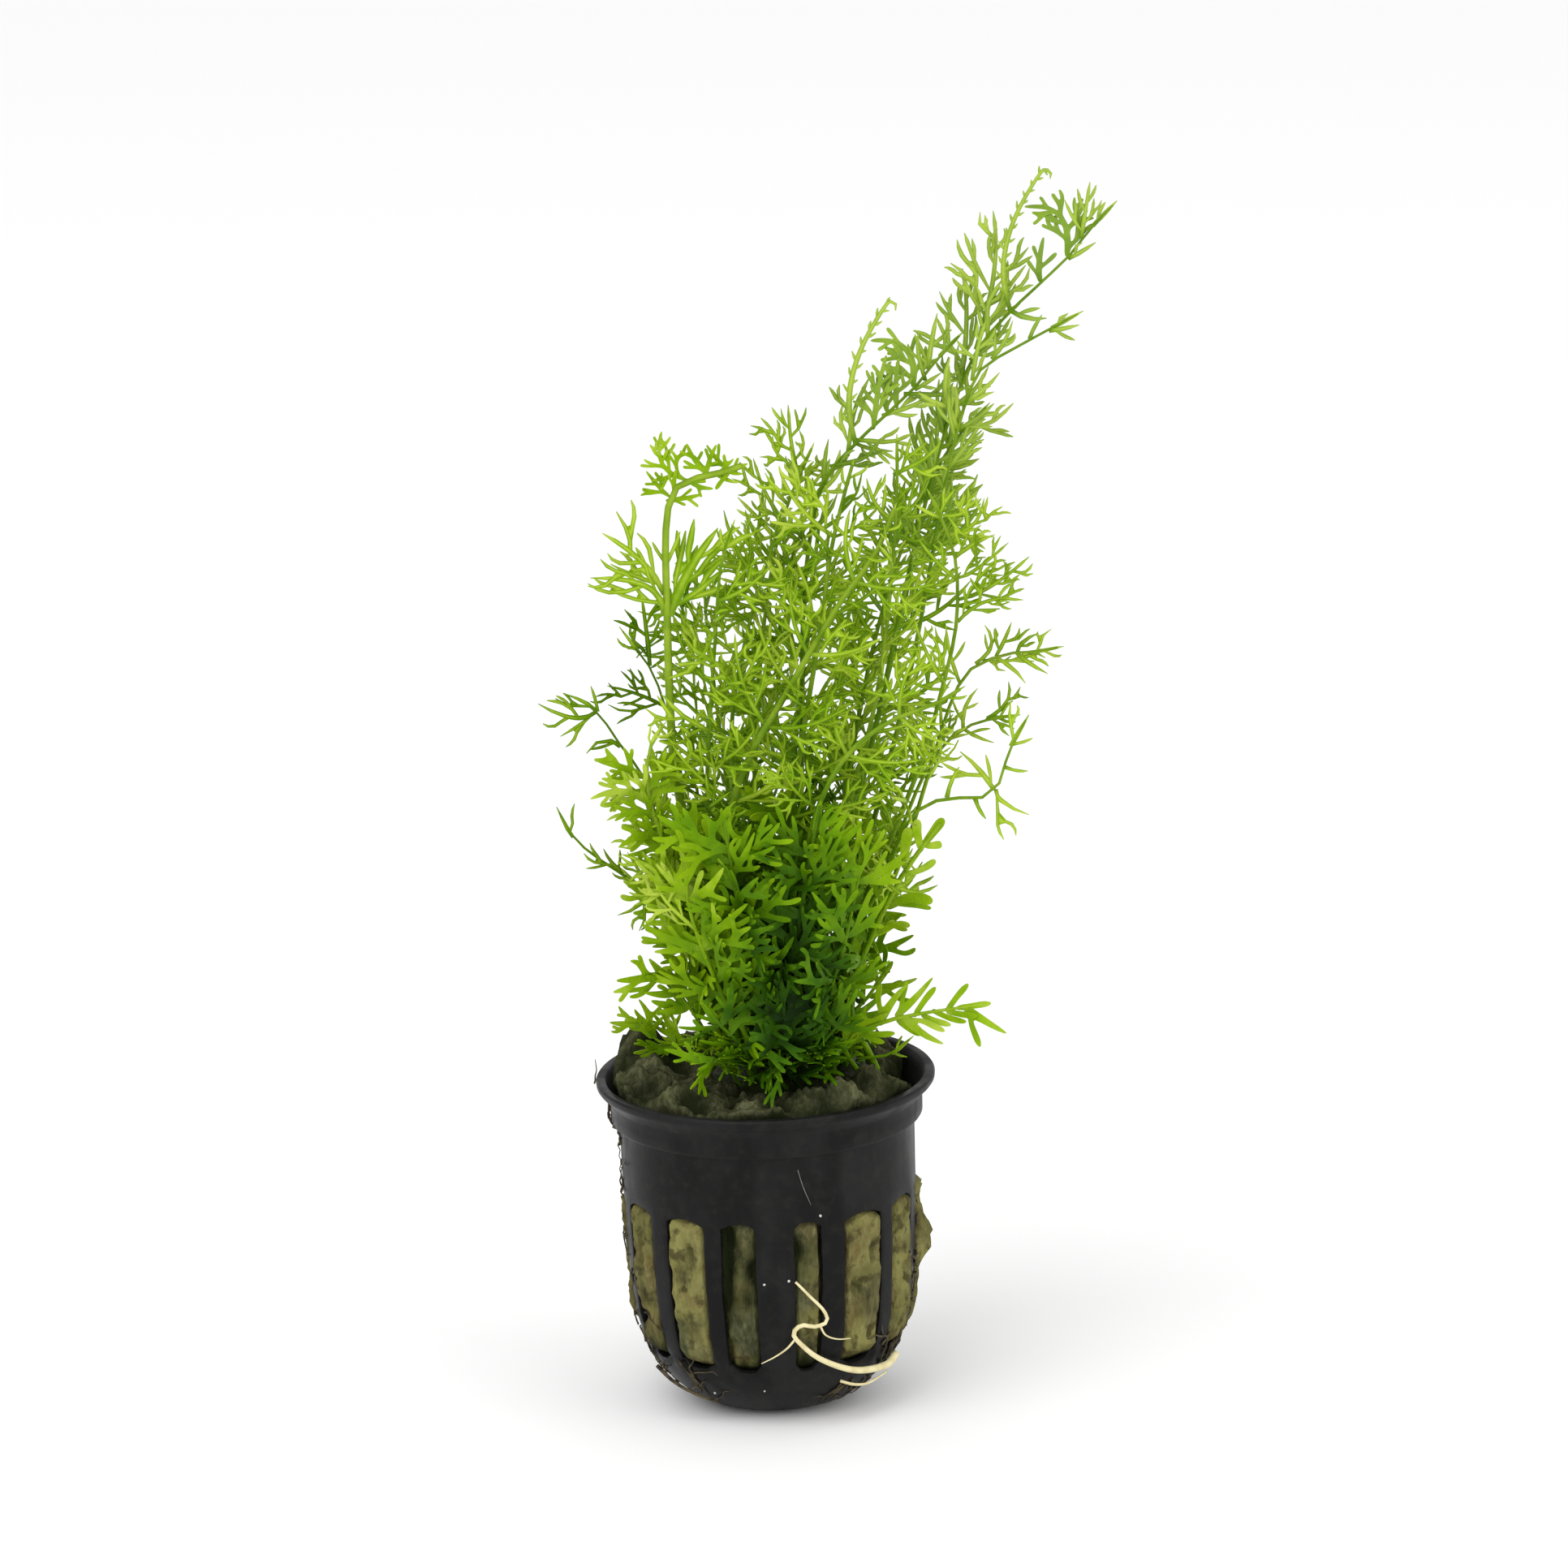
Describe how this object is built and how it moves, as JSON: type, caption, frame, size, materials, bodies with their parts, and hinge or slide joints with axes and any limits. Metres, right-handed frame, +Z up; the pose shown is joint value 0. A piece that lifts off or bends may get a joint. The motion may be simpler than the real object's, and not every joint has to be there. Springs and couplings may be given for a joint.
{
  "type": "potted aquarium fern",
  "caption": "Water sprite fern with finely divided fronds, growing in mineral wool in a slotted black net pot.",
  "frame": {"origin": "middle of the net pot's flat underside", "axes": "+Z up along the pot's axis, -Y towards the pictured front, +X towards the side that the top fronds lean to"},
  "size_m": [0.0935, 0.0583, 0.1984],
  "materials": {
    "net_pot": "satin",
    "rock_wool": "matte",
    "crown": "matte",
    "leaf_bright": "satin",
    "leaf_green": "satin",
    "leaf_dark": "satin",
    "root_pale": "matte",
    "root_brown": "matte"
  },
  "bodies": {
    "root": {"net_pot": "net_pot", "rock_wool": "rock_wool", "crown": "crown", "frond_tall_left": "leaf_bright", "frond_plume_main": "leaf_green", "frond_plume_side": "leaf_green", "frond_second_main": "leaf_green", "frond_second_side": "leaf_green", "frond_third_top": "leaf_green", "frond_right_upper": "leaf_bright", "frond_right_mid": "leaf_bright", "frond_right_low_mid": "leaf_bright", "frond_right_arch": "leaf_bright", "frond_left_spray": "leaf_green", "frond_left_droop": "leaf_green", "frond_left_thin": "leaf_dark", "frond_left_broad": "leaf_bright", "frond_low_left": "leaf_bright", "frond_low_left_fan": "leaf_bright", "frond_low_left_tip": "leaf_bright", "frond_low_right": "leaf_bright", "frond_low_right_fan": "leaf_bright", "frond_low_right_long": "leaf_bright", "frond_low_right_tip": "leaf_bright", "frond_mid_diagonal": "leaf_bright", "frond_mid_sweep": "leaf_bright", "frond_mid_front": "leaf_bright", "frond_mid_left": "leaf_bright", "frond_mid_left_inner": "leaf_green", "frond_mid_right": "leaf_bright", "frond_mid_right_back": "leaf_green", "frond_mid_left_back": "leaf_green", "frond_mid_back": "leaf_green", "frond_front_left": "leaf_bright", "frond_front_right": "leaf_green", "frond_front_far_left": "leaf_bright", "frond_front_far_right": "leaf_bright", "frond_front_core": "leaf_dark", "frond_front_low_left": "leaf_green", "frond_front_low_mid": "leaf_dark", "frond_front_low_right": "leaf_bright", "frond_front_hem_left": "leaf_green", "frond_front_hem_right": "leaf_bright", "frond_back_left": "leaf_green", "frond_back_mid": "leaf_green", "frond_back_right": "leaf_green", "frond_back_low": "leaf_green", "root_front": "root_pale", "root_curl": "root_brown", "root_left": "root_brown"}
  },
  "joints": []
}
